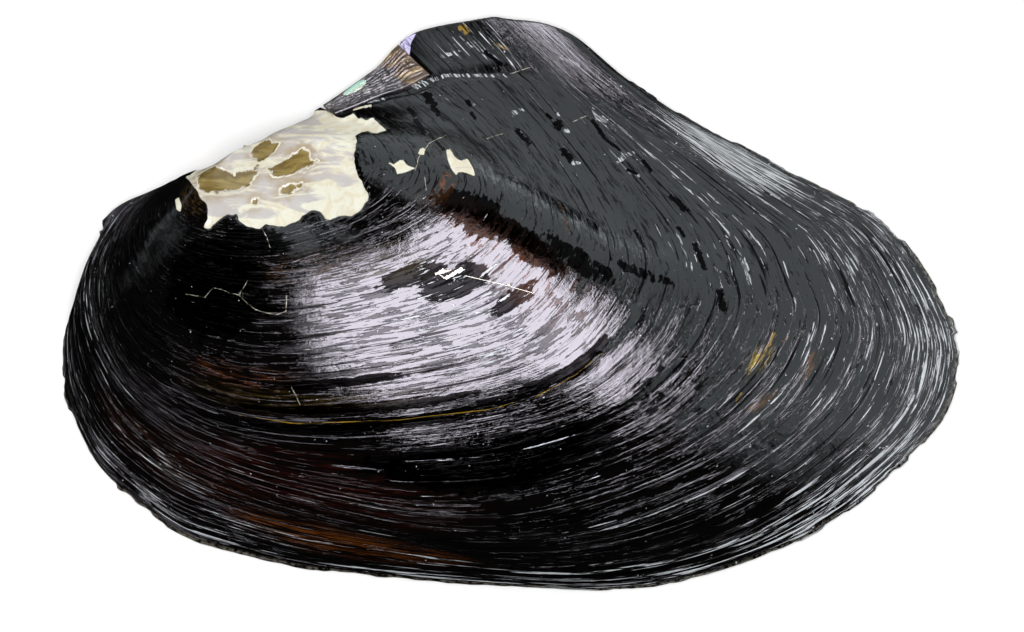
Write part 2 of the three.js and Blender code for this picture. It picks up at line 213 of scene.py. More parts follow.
def outwardAt(point):
    return (point - heart).normalized()


def normalAt(place, growth):
    inner = max(growth - 0.01, 0.02)
    low = smoothPoint(stationAt(max(place - 0.02, 0)), growth)
    high = smoothPoint(stationAt(min(place + 0.02, lastStation)), growth)
    station = stationAt(place)
    across = smoothPoint(station, min(inner + 0.02, 1)) - smoothPoint(station, inner)
    return across.cross(high - low).normalized()


def pointBelow(place, growth, thickness):
    point = smoothPoint(stationAt(place), growth)
    direction = outwardAt(point)
    facing = max(abs(direction.dot(normalAt(place, max(growth, 0.06)))), 0.5)
    return point - direction * (thickness / facing)


def wallAt(place, growth):
    walls = shellForm["walls"]
    thickness = mix(walls["dome"], walls["margin"], smoothStep(growth, 0.3, 1))
    hingeShare = 1 - smoothStep(place, 0, 1.5) + smoothStep(place, 16, 18)
    return mix(thickness, walls["hinge"], hingeShare) + walls["umbo"] * (1 - smoothStep(growth, 0, 0.25))


# Surface of the valve: where it is stepped, creased, worn and chipped
valveLooks = {
    "columns": 400,
    "rows": 190,
    "liningRows": 38,
    "ledgeHeight": 0.45,
    "growthRests": [
        (0.36, 0.35), (0.43, 0.4), (0.5, 0.45), (0.57, 1), (0.64, 0.7), (0.7, 0.6),
        (0.76, 1), (0.815, 0.7), (0.87, 0.8), (0.92, 0.9), (0.96, 0.6),
    ],
    "firstRest": 0.3,
    "flakeReach": 1,
    "pearlyHinge": 6,
    "creaseStation": 17.15,
    "creaseHalfWidth": 0.13,
    "bed": {"growth": (0.2, 0.42), "station": 17.25, "depth": 1.5},
    "wornDepth": 0.8,
    "wornPatch": [
        (-83.6, 32.8), (-82.8, 31.4), (-81.5, 30.3), (-80.3, 28.6), (-79.2, 26.6), (-77.9, 25.4),
        (-77.3, 23.8), (-77.7, 21.6), (-78.8, 19.3), (-77.6, 19.2), (-75.6, 20.2), (-74.2, 21.9),
        (-72.4, 22.6), (-70.2, 22.9), (-69.6, 21.6), (-68, 20.2), (-66, 19.3), (-64.2, 19), (-62.6, 20.3),
        (-60.2, 19.8), (-58, 19.7), (-56.2, 20.6), (-54, 21.4), (-52.3, 23.2), (-50.3, 23.9), (-48.6, 23.5),
        (-47.3, 22.2), (-46.9, 20.9), (-45.6, 21.3), (-44.4, 22.5), (-42.8, 22.4), (-40.6, 22.3),
        (-38.2, 23.9), (-36.4, 26.4), (-36.6, 28.6), (-37.9, 30.9), (-39.3, 33.4), (-40, 36.2),
        (-40.2, 38.8), (-39.4, 41.4), (-39.9, 43), (-38.6, 44.4), (-36.4, 44.4), (-34.2, 43.7),
        (-32.2, 44.5), (-34.1, 46.6), (-35.3, 48), (-37.2, 47.2), (-39.3, 48), (-40.9, 49.1), (-42.8, 47.8),
        (-45.2, 48.3), (-47, 50), (-54, 50), (-62, 46), (-70, 42), (-78, 38),
    ],
    "chips": [
        [(-86.3, 26.8), (-85.3, 27.3), (-84.5, 25.3), (-84.8, 23.5), (-85.8, 24.2)],
        [(-31.9, 36.4), (-29.8, 35.6), (-27.7, 37.2), (-26.7, 35.4), (-24.4, 34.6), (-26.7, 33.6), (-29, 33),
         (-29.5, 34.6)],
        [(-23.8, 38.2), (-23.1, 40), (-21.8, 39.8), (-22.3, 38)],
        [(-16.6, 39.3), (-15.6, 39.8), (-14.5, 37.7), (-13, 36.4), (-11.1, 37.2), (-9.6, 34.6), (-9.1, 32.5),
         (-11.1, 33.3), (-13, 33.8), (-14, 32.8), (-15.3, 34.6), (-16.1, 36.7)],
    ],
    # Stained places: station, growth, their half sizes, colour
    "stains": [
        (5.6, 0.82, 1.6, 0.09, (0.016, 0.004, 0.0012)),
        (6.8, 0.9, 1, 0.06, (0.1, 0.027, 0.003)),
        (7, 0.72, 1.7, 0.12, (0.02, 0.003, 0.0015)),
        (6.5, 0.49, 1, 0.03, (0.04, 0.011, 0.002)),
        (7, 0.53, 1.6, 0.03, (0.03, 0.018, 0.0025)),
        (7.6, 0.3, 1.4, 0.045, (0.025, 0.01, 0.0025)),
        (10.9, 0.4, 1, 0.17, (0.045, 0.014, 0.0025)),
        (11.6, 0.283, 1.2, 0.016, (0.2, 0.06, 0.01)),
        (11.4, 0.712, 0.3, 0.011, (0.35, 0.25, 0.015)),
        (10.9, 0.745, 0.25, 0.009, (0.2, 0.08, 0.006)),
        (11.5, 0.77, 0.3, 0.01, (0.08, 0.035, 0.006)),
        (9, 0.33, 0.9, 0.05, (0.02, 0.015, 0.004)),
        (3.3, 0.14, 2, 0.06, (0.04, 0.022, 0.005)),
        (13.6, 0.32, 1.6, 0.08, (0.012, 0.008, 0.004)),
        (13.4, 0.4, 0.9, 0.14, (0.085, 0.093, 0.1)),
        (13.2, 0.52, 0.6, 0.09, (0.085, 0.093, 0.1)),
    ],
    # Places where thin silvery layers lift off, partly painted glints along the ridges: station, growth,
    # their half sizes, amount
    "silverAndGlintPlaces": [
        (15.8, 0.9, 1.4, 0.16, 1.5), (14.5, 0.94, 1.4, 0.12, 0.9), (12.4, 0.95, 2.4, 0.1, 1.1),
        (13.6, 0.83, 0.6, 0.08, 1), (10.2, 0.97, 1.6, 0.06, 1.2), (10.3, 0.86, 0.8, 0.06, 0.6),
        (0.9, 0.92, 1.5, 0.18, 0.6), (3, 0.97, 2, 0.08, 0.5), (5.2, 0.95, 1.6, 0.06, 0.85),
        (5.4, 0.84, 1, 0.05, 0.8), (8, 0.98, 2.4, 0.035, 1), (7.2, 0.72, 1.6, 0.08, 0.45),
        (17.7, 0.78, 0.8, 0.14, 0.7), (17.5, 0.55, 0.5, 0.1, 0.8), (13.3, 0.66, 1.4, 0.1, 0.5),
        (16, 0.65, 0.8, 0.16, 0.45), (11.6, 0.8, 1.2, 0.1, 0.5), (2.5, 0.6, 1.6, 0.2, 0.3),
        (9.4, 0.43, 1.8, 0.14, 0.75), (13, 0.87, 2, 0.14, 0.6),
    ],
    # Places where the skin is scuffed dull: station, growth, their half sizes, amount
    "dullPlaces": [
        (8.9, 0.37, 2, 0.12, 0.55), (9.3, 0.46, 2, 0.08, 0.5), (8, 0.45, 1.4, 0.12, 0.5),
        (10.2, 0.53, 1.4, 0.06, 0.5), (8.6, 0.42, 0.8, 0.03, 1), (7.8, 0.49, 1, 0.02, 1),
        (10.6, 0.5, 0.6, 0.03, 0.8),
    ],
    # Places where the skin is matt, partly painted shade: black and without any reflection
    "mattAndShadePlaces": [
        (11.2, 0.33, 1, 0.08, 0.85), (11.3, 0.41, 0.6, 0.1, 0.85), (11.8, 0.48, 0.45, 0.08, 0.75),
        (12.3, 0.56, 0.3, 0.07, 0.6), (9.6, 0.395, 1, 0.03, 1), (9, 0.365, 0.9, 0.025, 0.9),
        (5.9, 0.33, 1.4, 0.17, 1), (7.6, 0.545, 1.9, 0.014, 1), (10.2, 0.45, 0.8, 0.018, 0.9),
        (7.6, 0.5, 1.3, 0.012, 0.9), (9.9, 0.56, 1.6, 0.012, 0.9), (7.5, 0.58, 2, 0.012, 0.8),
        (6.6, 0.22, 1.3, 0.07, 0.9), (8.7, 0.66, 1.8, 0.07, 0.85), (10.6, 0.65, 0.7, 0.06, 0.5),
    ],
    # Clear brown pools in the worn patch
    "pools": [
        [(-66.4, 39.8), (-63.5, 42.1), (-59.9, 41.3), (-61.4, 38.5), (-64.5, 36.7), (-67.1, 37.5)],
        [(-62.2, 34.6), (-58.1, 36.7), (-54.2, 39.5), (-51.8, 39.3), (-51.6, 36.9), (-49.8, 36.7),
         (-50.8, 35.4), (-54.7, 34.1), (-58.1, 32.8), (-60.9, 33)],
        [(-80.6, 32.8), (-76.2, 35.4), (-73.6, 34.6), (-71, 33.3), (-67.1, 34.6), (-64.8, 35.9),
         (-65.1, 34.1), (-67.1, 30.7), (-69.7, 28.9), (-74.1, 28.9), (-77.5, 28.4), (-80.1, 29.4)],
        [(-59.1, 27.9), (-58.6, 29.7), (-56.8, 30.7), (-53.4, 30.7), (-52.4, 30.2), (-55.5, 29.4),
         (-57.3, 28.1)],
        [(-66.1, 25.3), (-65.8, 26.6), (-64.8, 26.8), (-65.1, 25.3)],
    ],
    # Places torn down to the pearly layer
    "pearls": [
        [(-24.4, 70.1), (-25.9, 67.5), (-26.2, 64.2), (-27.7, 62.3), (-29, 64.2), (-28.8, 66.7),
         (-27.7, 68.8)],
    ],
    # Small marks along the growth lines: both ends and half the width
    "marks": {
        # pits: real hollows, painted black inside as shade
        "shadedPit": [
            (-11.4, 52.7, -10.4, 50.9, 0.5), (-10.4, 49.6, -9.1, 47.6, 0.35), (1.3, 45, 4.9, 41.1, 0.6),
            (11.4, 47.3, 13, 45.2, 1), (13, 40, 15.6, 36.9, 0.8), (9.1, 49.1, 10.6, 47.8, 0.4),
            (21, 47.6, 24.4, 42.4, 0.5), (24.4, 42.4, 28.3, 39.8, 0.35), (34, 37.2, 36.3, 34.1, 0.5),
            (29.8, 34.6, 32.7, 33.3, 0.4), (41, 28.1, 45.6, 23.7, 0.6), (-7, 65.4, -2.3, 61.8, 0.5),
            (-22.3, 54.8, -19.7, 50.7, 0.9), (-20.5, 51.2, -18.4, 48.6, 0.6), (-24.9, 47.6, -22, 43.9, 0.5),
            (-21, 43.7, -17.1, 39.3, 0.35), (47.2, 15.7, 49.8, 8.7, 0.6), (43, 26, 44.6, 24.2, 0.5),
            (53.4, 4, 54.7, -2.2, 0.8), (31.6, 19.1, 34.2, 14.6, 0.4), (43, 19.8, 44.6, 17.2, 0.4),
            (-26.7, 50.7, -24.6, 48.1, 0.5),
        ],
        # silvery flakes, partly painted glints
        "silverAndGlint": [
            (0.3, 48.9, 3.4, 50.2, 0.6), (10.6, 48.3, 12.7, 49.1, 0.5), (13.7, 44.5, 15, 44.7, 0.5),
            (22, 48.3, 24.9, 47, 0.8), (21, 50.7, 22.3, 47.6, 0.3), (15.8, 36.2, 17.9, 36.2, 0.45),
            (28.3, 38.2, 32.1, 38.8, 0.6), (27, 36.2, 29.3, 37.5, 0.35), (30.8, 34.1, 33.4, 32.8, 0.4),
            (-10.4, 50.9, -9.3, 51.5, 0.3), (-25.7, 55.9, -20.5, 57.7, 0.8), (-20.5, 57.7, -16.6, 59, 0.6),
            (-16.6, 59, -1, 59, 0.4), (-18.4, 64.2, -13, 64.9, 0.6), (-11.7, 67.3, -10.1, 65.7, 0.8),
            (-39.9, 51.7, -32.4, 53, 0.35), (12.7, 63.9, 17.9, 61.6, 0.5),
        ],
        "yellow": [
            (67.9, -7.6, 65.6, -11.5, 0.6), (65.6, -11.5, 63.5, -15.7, 0.4),
            (61.2, -17.8, 59.9, -20.1, 0.35), (59.4, -22.9, 57.8, -25.5, 0.35),
            (-13.2, 72.4, -11.1, 70.1, 0.9), (-4.4, 67.3, -1, 66, 0.35), (-29, 60.3, -25.7, 61.6, 1.2),
            (-28, 57.2, -26.2, 59, 0.8), (-54.7, -30.7, -28.8, -29.7, 0.13),
            (-28.8, -29.7, -6.2, -27.1, 0.14), (-6.2, -27.1, 5.7, -24.2, 0.13),
            (5.7, -24.2, 16.1, -18.5, 0.14), (16.1, -18.5, 23.1, -12.6, 0.12),
            (-69.5, -28.6, -54.7, -30.7, 0.12),
        ],
        "amber": [
            (72.3, -7.6, 69.7, -10, 0.4), (78.3, -12.1, 76.2, -15.9, 0.3), (-20, 25.3, -16.6, 30.5, 0.5),
            (12.7, 25.5, 14.8, 17.5, 0.3),
        ],
        "cream": [
            (-19.2, 7.4, -17.1, 8.7, 0.25), (-16.6, 6.4, -12.4, 8.9, 0.35), (-11.7, 7.1, -2.9, 5.1, 0.06),
            (-2.9, 5.1, 5.7, 2.7, 0.06), (-1.3, 4.8, 0.3, 4.3, 0.4), (-40.7, 50.2, -36, 51.2, 0.3),
        ],
    },
    "markCell": 6,
    "markReach": 2.2,
    "crackWidth": 0.085,
    # Fine cracks, from point to point
    "cracks": [
        [(-83.2, 2.4), (-78.2, 1.6), (-75.9, 4.1), (-69.3, 2.1), (-65.1, -1.6), (-59.6, -2.8), (-57.4, -1.9),
         (-57, 2.2)],
        [(-69.3, 2.1), (-67.1, 5.8)],
        [(-63.8, 19.7), (-62.2, 16.8), (-61.4, 14.2)],
        [(-56, -21.1), (-53.7, -25.7)],
        [(-16.5, 43.4), (-21, 41.1), (-23.6, 37.2), (-24.4, 34.1)],
        [(-22, 32.3), (-21.6, 28.8)],
        [(-0.3, 59.4), (4.9, 61.2)],
        [(-6.2, 42.4), (-1.9, 43.7)],
        [(15.9, 46.9), (19.2, 48.6)],
    ],
}


def edgeDistance(x, y, outline, reach=6):  # how far inside the outline a place is, negative outside it
    if not min(p[0] for p in outline) - reach < x < max(p[0] for p in outline) + reach:
        return -reach
    if not min(p[1] for p in outline) - reach < y < max(p[1] for p in outline) + reach:
        return -reach
    nearest = reach
    within = False
    for (ax, ay), (bx, by) in zip(outline, outline[1:] + outline[:1]):
        run, rise = bx - ax, by - ay
        share = min(max(((x - ax) * run + (y - ay) * rise) / (run * run + rise * rise), 0), 1)
        nearest = min(nearest, math.hypot(x - ax - run * share, y - ay - rise * share))
        if (ay > y) != (by > y) and x < ax + run * (y - ay) / rise:
            within = not within
    return nearest if within else -nearest


def ledgeOffset(place, growth):
    rests = valveLooks["growthRests"]
    start = valveLooks["firstRest"]
    for rest, share in rests:
        if growth <= rest:
            fade = smoothStep(place, 0, 2) * (1 - smoothStep(place, 16, 18))
            ragged = 0.65 + 0.7 * noise.noise((place * 1.3, rest * 40, 9))
            return valveLooks["ledgeHeight"] * ragged * share * max(growth - start, 0) / (rest - start) * fade
        start = rest
    return 0


def creaseOffset(place, growth):
    across = max(1 - abs(place - valveLooks["creaseStation"]) / valveLooks["creaseHalfWidth"], 0)
    return -across * smoothStep(growth, 0.17, 0.25) * (1 - smoothStep(growth, 0.52, 0.64))


def bedOffset(place, growth):
    bed = valveLooks["bed"]
    low, high = bed["growth"]
    front = bed["station"]
    along = smoothStep(growth, low - 0.006, low + 0.004)
    along *= 1 - smoothStep(growth, high - 0.004, high + 0.006)
    return -bed["depth"] * along * smoothStep(place, front - 0.05, front + 0.05)


def fineOffset(place, growth):  # small growth ridges, ragged along their length
    along = place * 0.9
    ridge = noise.noise((along * 0.6, growth * 80, 0)) * 0.05
    lump = noise.noise((place * 0.8, growth * 9, 3)) * 0.3
    return (ridge + lump) * smoothStep(growth, 0.12, 0.35)


def outerPoint(place, growth):
    if growth == 0:
        return smoothPoint(stationAt(middleStation), 0)
    point = smoothPoint(stationAt(place), growth)
    wander = noise.noise((place * 1.7, growth * 6, 11)) * 0.004
    offset = ledgeOffset(place, growth + wander * smoothStep(growth, 0.3, 0.4))
    offset += creaseOffset(place, growth) + bedOffset(place, growth) + fineOffset(place, growth)
    worn = wornDistance(point)
    offset = mix(offset, -valveLooks["wornDepth"] + wornRelief(point), smoothStep(worn, -0.25, 0.35))
    flake = marginFlake(place) * smoothStep(growth, 0.985, 1)
    return point + outwardAt(point) * offset + Vector((point.x, point.y, 0)).normalized() * flake


def marginFlake(place):  # the horny edge ends in small broken flakes
    broken = math.floor(place * 4 + noise.noise((place * 1.2, 0, 6)) * 3)
    flakes = noise.noise((broken * 0.77, 4.3, 1)) + noise.noise((place * 9, 1, 2)) * 0.3
    return flakes * valveLooks["flakeReach"]


def wornDistance(point):
    distance = edgeDistance(point.x, point.y, valveLooks["wornPatch"])
    return distance + noise.noise((point.x * 0.6, point.y * 0.6, 5)) * 0.5 if distance > -6 else distance


def wornRelief(point):
    return noise.noise((point.x * 0.16, point.y * 0.16, 1)) * 0.5


def softBlob(x, y, blob):  # one in the middle of the blob, none past its edge
    across, up, halfAcross, halfUp = blob[:4]
    if abs(x - across) > halfAcross or abs(y - up) > halfUp:
        return 0
    return 1 - smoothStep(math.hypot((x - across) / halfAcross, (y - up) / halfUp), 0.35, 1)


def stainAt(place, growth):
    colour = Vector((0, 0, 0))
    for stain in valveLooks["stains"]:
        colour = colour.lerp(Vector(stain[4]), softBlob(place, growth, stain))
    return (*colour, 1)


def strongest(x, y, blobs):
    return max(softBlob(x, y, blob) * blob[4] for blob in blobs)


def wearGlintAndShadeAt(place, growth):  # red: silvery layers with painted glints, green: dull skin, blue: matt skin with painted shade
    silverAndGlint = strongest(place, growth, valveLooks["silverAndGlintPlaces"])
    dull = strongest(place, growth, valveLooks["dullPlaces"])
    return (silverAndGlint, dull, strongest(place, growth, valveLooks["mattAndShadePlaces"]), 1)


def inside(point, outlines):
    return max(edgeDistance(point.x, point.y, outline) for outline in outlines)


def markCells(marks):  # marks by the squares of the plan that they come near
    cells = {}
    size, reach = valveLooks["markCell"], valveLooks["markReach"]
    for mark in marks:
        lowX, highX = sorted((mark[0], mark[2]))
        lowY, highY = sorted((mark[1], mark[3]))
        for i in range(math.floor((lowX - reach) / size), math.floor((highX + reach) / size) + 1):
            for j in range(math.floor((lowY - reach) / size), math.floor((highY + reach) / size) + 1):
                cells.setdefault((i, j), []).append(mark)
    return cells


def markAt(point, cells):  # offset across the nearest mark, way past its end, nearness
    size, reach = valveLooks["markCell"], valveLooks["markReach"]
    nearest, found = reach, (9, 9, 0, 1)
    cell = math.floor(point.x / size), math.floor(point.y / size)
    for startX, startY, endX, endY, half in cells.get(cell, ()):
        length = math.hypot(endX - startX, endY - startY)
        run, rise = (endX - startX) / length, (endY - startY) / length
        along = (point.x - startX) * run + (point.y - startY) * rise
        side = (point.y - startY) * run - (point.x - startX) * rise
        beyond = max(-along, along - length)
        distance = math.hypot(side, max(beyond, 0))
        if distance < nearest:
            nearest = distance
            found = (side / half, beyond / half, 1 - smoothStep(distance, reach * 0.35, reach), 1)
    return found


def crackLines():
    lines = []
    for crack in valveLooks["cracks"]:
        for start, end in zip(crack, crack[1:]):
            lines.append((*start, *end, valveLooks["crackWidth"]))
    return lines


def innerPoint(place, growth):
    if growth == 0:
        return pointBelow(middleStation, 0, wallAt(middleStation, 0))
    return pointBelow(place, growth, wallAt(place, growth))


def liningGrowth(share):  # the lining starts a little way out from the beak
    return 0 if share == 0 else mix(0.05, 1, share)


places = {}  # share of the way round and growth of each vertex on the two sheets


def gridSheet(mesh, columns, rows, pointAt, growthAt, growthMap):  # a square grid moved onto the shell
    made = bmesh.ops.create_grid(mesh, x_segments=columns, y_segments=rows, size=1)
    for vertex in made["verts"]:
        place = middleStation * (vertex.co.x + 1)
        growth = growthAt((vertex.co.y + 1) / 2)
        vertex.co = pointAt(place, growth)
        places[vertex] = (place / lastStation, growth)
    faces = list({face for vertex in made["verts"] for face in vertex.link_faces})
    for face in faces:
        for corner in face.loops:
            corner[growthMap].uv = places[corner.vert]
    return faces


def openEdges(faces):
    return [edge for edge in {edge for face in faces for edge in face.edges} if edge.is_boundary]


def skirtDown(mesh, edges):  # walls straight down to the plane that the shell lies on
    made = bmesh.ops.extrude_edge_only(mesh, edges=edges)["geom"]
    for vertex in (item for item in made if isinstance(item, bmesh.types.BMVert)):
        vertex.co.z = 0
    newFaces = [item for item in made if isinstance(item, bmesh.types.BMFace)]
    newEdges = [item for item in made if isinstance(item, bmesh.types.BMEdge)]
    return newFaces, newEdges


def makeObject(mesh, name, materials):
    data = bpy.data.meshes.new(name)
    mesh.to_mesh(data)
    mesh.free()
    made = bpy.data.objects.new(name, data)
    bpy.context.scene.collection.objects.link(made)
    for material in materials:
        data.materials.append(material)
    for face in data.polygons:
        face.use_smooth = True
    return made


def finishPiece(mesh, name, materials):
    bmesh.ops.transform(mesh, matrix=toFrame, verts=mesh.verts[:])
    bmesh.ops.recalc_face_normals(mesh, faces=mesh.faces[:])
    return makeObject(mesh, name, materials)


def startSlab(mesh, form):  # a grid in two layers, closed at its edges
    columns, rows = form["columns"], form["rows"]
    bmesh.ops.create_grid(mesh, x_segments=columns, y_segments=rows, size=1)
    bmesh.ops.extrude_face_region(mesh, geom=mesh.faces[:], use_keep_orig=True)
    return set(mesh.verts[: (columns + 1) * (rows + 1)])


def makeValve(materials):
    mesh = bmesh.new()
    growthMap = mesh.loops.layers.uv.new("growth")
    worn = mesh.verts.layers.float.new("worn")
    chipped = mesh.verts.layers.float.new("chipped")
    pool = mesh.verts.layers.float.new("pool")
    pearl = mesh.verts.layers.float.new("pearl")
    stain = mesh.verts.layers.float_color.new("stain")
    # channels: silvery layers with painted glints, dull skin, matt skin with painted shade
    wearGlintAndShade = mesh.verts.layers.float_color.new("wearGlintAndShade")
    marks = {**valveLooks["marks"], "crack": crackLines()}
    cells = {kind: markCells(given) for kind, given in marks.items()}
    lines = {kind: mesh.verts.layers.float_color.new(kind) for kind in marks}
    columns, rows = valveLooks["columns"], valveLooks["rows"]
    outside = gridSheet(mesh, columns, rows, outerPoint, float, growthMap)
    for vertex in {vertex for face in outside for vertex in face.verts}:
        vertex[worn] = wornDistance(vertex.co)
        vertex[chipped] = inside(vertex.co, valveLooks["chips"])
        vertex[pool] = inside(vertex.co, valveLooks["pools"])
        vertex[pearl] = inside(vertex.co, valveLooks["pearls"])
        for kind, layer in lines.items():
            vertex[layer] = markAt(vertex.co, cells[kind])
        share, growth = places[vertex]
        vertex[stain] = stainAt(share * lastStation, growth)
        vertex[wearGlintAndShade] = wearGlintAndShadeAt(share * lastStation, growth)
    lining = gridSheet(mesh, columns, valveLooks["liningRows"], innerPoint, liningGrowth, growthMap)
    rimA, edgesA = skirtDown(mesh, openEdges(outside))
    rimB, edgesB = skirtDown(mesh, openEdges(lining))
    base = bmesh.ops.triangle_fill(mesh, use_beauty=True, edges=edgesA + edgesB)["geom"]
    for face in lining:
        face.material_index = 1
    hingeLine = [smoothPoint(stationAt(place), i / 20) for place in (0, lastStation) for i in range(1, 21)]
    for face in [item for item in base if isinstance(item, bmesh.types.BMFace)]:
        middle = face.calc_center_median()
        nearHinge = min((point.xy - middle.xy).length for point in hingeLine) < valveLooks["pearlyHinge"]
        face.material_index = 1 if nearHinge else 2
    for face in rimA:
        face.material_index = 2
    for face in rimB:
        face.material_index = 1
    bmesh.ops.remove_doubles(mesh, verts=mesh.verts[:], dist=0.002)
    return finishPiece(mesh, "valve", materials)


# Shallow plate along the hinge, with two grooves and the long low tooth between them
hingePlate = {
    "innerEdge": [
        (-114, -4), (-109, 6), (-103, 14.5), (-94, 21.5), (-80, 28.5), (-68, 33.5), (-57, 38), (-46, 43),
        (-35, 49.5), (-26, 57), (-17, 62.5), (-7, 65), (5, 64), (15, 60), (26, 54), (38, 48.5), (52, 42),
    ],
    "toothGrooves": [
        [(-51, 47), (-42, 52), (-33.5, 58.5), (-26, 64.5), (-16, 69), (-4, 70), (7, 68.5)],
        [(-47, 45.2), (-38, 50.5), (-29, 57.2), (-21, 62.8), (-13, 66), (-4, 67), (5, 66)],
    ],
    "thickness": 5.5,
    "grooveDepth": 1.2,
    "grooveWidth": 1.5,
    "beakShare": 0.3,
    "inset": 1.3,
    "insetTowards": (-10, 0),
    "clearance": 0.08,
    "edgeRounding": 1.6,
    "columns": 240,
    "rows": 36,
}


def platePlan(along, across):
    innerEdge = [Vector(point) for point in hingePlate["innerEdge"]]
    inner = splinePoint(innerEdge, along)
    beakShare = hingePlate["beakShare"]
    if along < beakShare:
        place, growth = 0, 1 - along / beakShare
    else:
        place, growth = lastStation, (along - beakShare) / (1 - beakShare)
    edge = smoothPoint(stationAt(place), max(growth, 0.001)).xy
    outer = edge + (Vector(hingePlate["insetTowards"]) - edge).normalized() * hingePlate["inset"]
    return inner.lerp(outer, across)


def grooveCut(plan):
    nearest = 9
    for groove in hingePlate["toothGrooves"]:
        for a, b in zip(groove, groove[1:]):
            start, run = Vector(a), Vector(b) - Vector(a)
            share = min(max((plan - start).dot(run) / run.length_squared, 0), 1)
            nearest = min(nearest, (plan - start - run * share).length)
    half = hingePlate["grooveWidth"] / 2
    return hingePlate["grooveDepth"] * (1 - smoothStep(nearest, half * 0.3, half * 1.2))


def plateTop(tree, plan):  # the plate ends inside the shell's wall
    start = toFrame @ Vector((plan.x, plan.y, 0.1))
    hit, normal, _, _ = tree.ray_cast(start, Vector((0, 0, 1)))
    if hit is None:
        return 0.3
    height = hit.z / millimetre
    return min(hingePlate["thickness"], height + 0.4 if normal.z < 0 else height * 0.5)


def makePlate(materials, shell):
    mesh = bmesh.new()
    tree = BVHTree.FromObject(shell, bpy.context.evaluated_depsgraph_get())
    under = startSlab(mesh, hingePlate)
    for vertex in mesh.verts:
        plan = platePlan((vertex.co.x + 1) / 2, (vertex.co.y + 1) / 2)
        edge = 1 - smoothStep((vertex.co.y + 1) / 2, 0, 0.12)
        uneven = noise.noise((plan.x * 0.12, plan.y * 0.12, 2)) * 0.05
        height = hingePlate["clearance"] + edge * edge * hingePlate["edgeRounding"] + grooveCut(plan) + uneven
        if vertex not in under:
            height = max(plateTop(tree, plan) - edge * 0.8, 0.2)
        vertex.co = (plan.x, plan.y, height)
    return finishPiece(mesh, "hinge_plate", materials)


# Torn horny band in its bed beside the hinge edge
ligamentForm = {
    "growth": (0.203, 0.419),
    "station": (17.26, 17.98),
    "sink": 1.1,
    "rise": 0.25,
    "strands": 11,
    "columns": 60,
    "rows": 150,
}


def ligamentPoint(across, along, top):
    growth = mix(*ligamentForm["growth"], along)
    place = mix(*ligamentForm["station"], across)
    point = smoothPoint(stationAt(place), growth)
    normal = normalAt(place, growth)
    ends = min(along, 1 - along) * 14
    crown = math.sin(math.pi * across) * min(ends, 1) ** 0.5
    if not top:
        return point - normal * ligamentForm["sink"] * (1 - 0.5 * across * across)
    drift = noise.noise((along * 5, across * 2, 0)) * 0.8
    strand = math.sin((across * ligamentForm["strands"] + drift) * math.tau) * 0.16
    fray = noise.noise((along * 26, across * 7, 4)) * 0.35
    return point + normal * (ligamentForm["rise"] * (0.35 + 0.65 * crown) + (strand + fray) * crown)


def makeLigament(materials):
    mesh = bmesh.new()
    growthMap = mesh.loops.layers.uv.new("growth")
    bottom = startSlab(mesh, ligamentForm)
    for face in mesh.faces:
        for corner in face.loops:
            corner[growthMap].uv = (corner.vert.co.x + 1) / 2, (corner.vert.co.y + 1) / 2
    for vertex in mesh.verts:
        vertex.co = ligamentPoint((vertex.co.x + 1) / 2, (vertex.co.y + 1) / 2, vertex not in bottom)
    return finishPiece(mesh, "ligament_band", materials)


# Shader helpers: a value is a number or another node's socket
def plug(tree, socket, value):
    if isinstance(value, bpy.types.NodeSocket):
        tree.links.new(value, socket)
    else:
        socket.default_value = value


def compute(tree, operation, *values, clamp=False):
    node = tree.nodes.new("ShaderNodeMath")
    node.operation = operation
    node.use_clamp = clamp
    for socket, value in zip(node.inputs, values):
        plug(tree, socket, value)
    return node.outputs[0]


def times(tree, a, b):
    return compute(tree, "MULTIPLY", a, b)


def plus(tree, a, b):
    return compute(tree, "ADD", a, b)


def less(tree, a, b, clamp=False):
    return compute(tree, "SUBTRACT", a, b, clamp=clamp)


def most(tree, a, b):
    return compute(tree, "MAXIMUM", a, b)


def blendColour(tree, share, low, high):
    node = tree.nodes.new("ShaderNodeMix")
    node.data_type = "RGBA"
    plug(tree, node.inputs["Factor"], share)
    plug(tree, node.inputs[6], low)
    plug(tree, node.inputs[7], high)
    return node.outputs[2]


def ramp(tree, value, low, high, start=0.0, end=1.0):
    node = tree.nodes.new("ShaderNodeMapRange")
    node.interpolation_type = "SMOOTHSTEP"
    names = ("Value", "From Min", "From Max", "To Min", "To Max")
    for name, given in zip(names, (value, low, high, start, end)):
        plug(tree, node.inputs[name], given)
    return node.outputs[0]


def speckle(tree, vector, scale, detail=2.0, roughness=0.5, distortion=0.0):
    node = tree.nodes.new("ShaderNodeTexNoise")
    plug(tree, node.inputs["Vector"], vector)
    names = ("Scale", "Detail", "Roughness", "Distortion")
    for name, given in zip(names, (scale, detail, roughness, distortion)):
        node.inputs[name].default_value = given
    return node.outputs["Fac"]


def stretch(tree, vector, scale, move=(0, 0, 0), turn=(0, 0, 0)):
    node = tree.nodes.new("ShaderNodeMapping")
    plug(tree, node.inputs["Vector"], vector)
    node.inputs["Scale"].default_value = scale
    node.inputs["Location"].default_value = move
    node.inputs["Rotation"].default_value = turn
    return node.outputs[0]


def readMask(tree, name):
    node = tree.nodes.new("ShaderNodeAttribute")
    node.attribute_name = name
    return node.outputs["Fac"]


def readColour(tree, name):
    node = tree.nodes.new("ShaderNodeAttribute")
    node.attribute_name = name
    return node.outputs["Color"]


def blendNumber(tree, share, low, high):
    node = tree.nodes.new("ShaderNodeMix")
    plug(tree, node.inputs["Factor"], share)
    plug(tree, node.inputs[2], low)
    plug(tree, node.inputs[3], high)
    return node.outputs[0]


